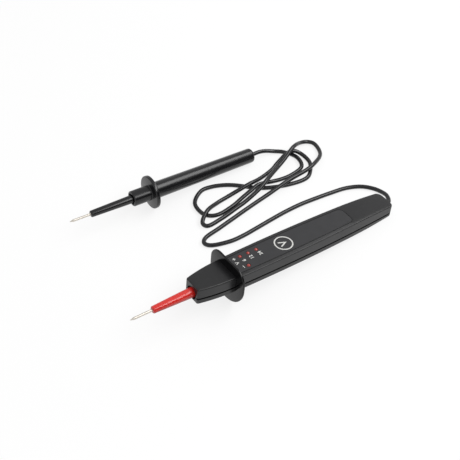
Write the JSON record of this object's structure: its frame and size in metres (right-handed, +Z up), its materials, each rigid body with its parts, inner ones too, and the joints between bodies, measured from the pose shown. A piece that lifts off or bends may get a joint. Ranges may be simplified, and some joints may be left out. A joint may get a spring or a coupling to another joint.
{
  "type": "circuit test light",
  "caption": "Two-pole circuit test light: slim black tester with lamp face, finger guard and red-sleeved pin, joined by a cord to a flanged second probe.",
  "frame": {"origin": "centre of the base of the two probes as they lie side by side, on the surface they lie on", "axes": "+X along the tester, from its pin towards its cord end; +Y towards the second probe; +Z up"},
  "size_m": [0.2455, 0.147, 0.0355],
  "materials": {
    "shell_black": "fine moulded texture",
    "guard_black": "gloss",
    "label_grey": "satin printed film",
    "lamp_red": "clear tinted",
    "board_green": "solder mask",
    "resistor_tan": "lacquer",
    "diode_glass": "glass",
    "pin_nickel": "nickel plated",
    "sleeve_red": "gloss",
    "screw_zinc": "zinc plated",
    "bush_rubber": "matt",
    "cord_pvc": "satin",
    "core_copper": "bare copper",
    "handle_black": "satin",
    "probe_sleeve_black": "gloss",
    "cup_brass": "bright"
  },
  "bodies": {
    "probe": {"probe_handle": "handle_black", "probe_sleeve": "probe_sleeve_black", "probe_pin": "pin_nickel", "probe_solder_cup": "cup_brass", "probe_cord_end": "cord_pvc", "probe_core": "core_copper", "test_cord": "cord_pvc"},
    "tester": {"upper_shell": "shell_black", "lower_shell": "shell_black", "finger_guard": "guard_black", "face_label": "label_grey", "led_6v": "lamp_red", "led_12v": "lamp_red", "led_24v": "lamp_red", "led_polarity": "lamp_red", "circuit_board": "board_green", "resistors": "resistor_tan", "diodes": "diode_glass", "test_pin": "pin_nickel", "test_sleeve": "sleeve_red", "shell_screws": "screw_zinc", "cord_bush": "bush_rubber", "tester_cord_end": "cord_pvc", "tester_core": "core_copper"}
  },
  "joints": [
    {"name": "tester_lift", "type": "slide", "parent": "probe", "child": "tester", "axis": [0, 0, 1], "range_m": [0, 0.06], "deforming": ["test_cord"]}
  ]
}
